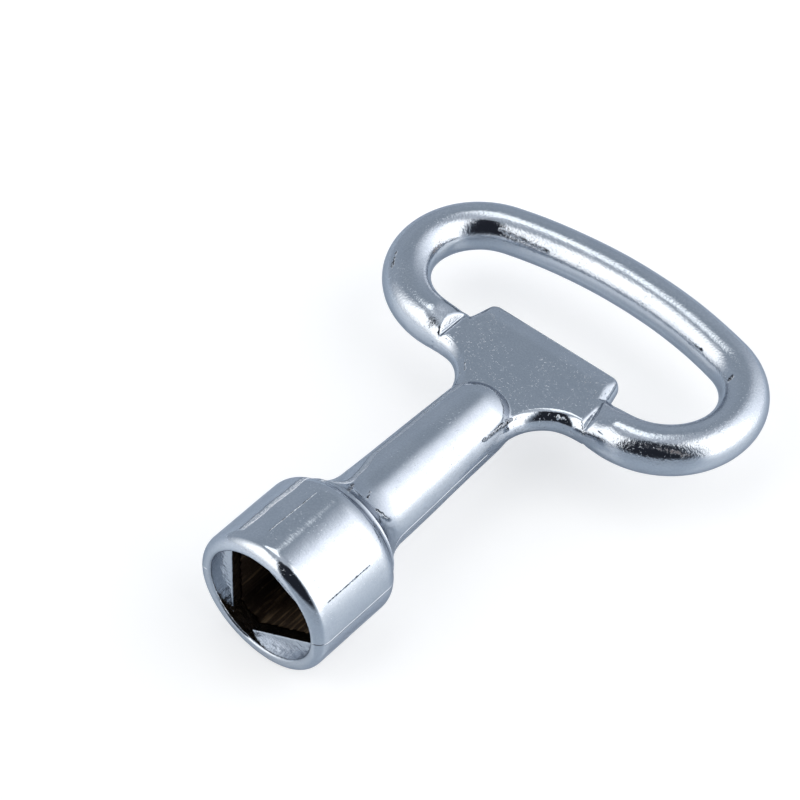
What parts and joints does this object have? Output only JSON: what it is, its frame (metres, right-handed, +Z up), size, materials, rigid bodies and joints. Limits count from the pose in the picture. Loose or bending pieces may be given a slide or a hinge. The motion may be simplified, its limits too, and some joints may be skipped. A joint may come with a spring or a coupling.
{
  "type": "triangular socket key",
  "caption": "Die-cast key with a round head holding a triangular socket, a round shank and an oval finger loop, for turning triangular lock and valve studs.",
  "frame": {"origin": "centre of the socket's mouth, on the head's front plane and the shank's axis", "axes": "+Y runs from the socket's mouth along the shank to the finger loop, +X runs across the loop, +Z is up, square to the loop's plane"},
  "size_m": [0.0464, 0.0619, 0.016],
  "materials": {
    "bright_plating": "bright cool-toned chrome plating over a slightly wavy die-cast surface",
    "socket_metal": "dark, thinly plated casting inside the socket, bright only at the front"
  },
  "bodies": {
    "root": {"socket_head": "bright_plating", "drive_lands": "socket_metal", "shank": "bright_plating", "handle_web": "bright_plating", "handle_loop": "bright_plating"}
  },
  "joints": []
}
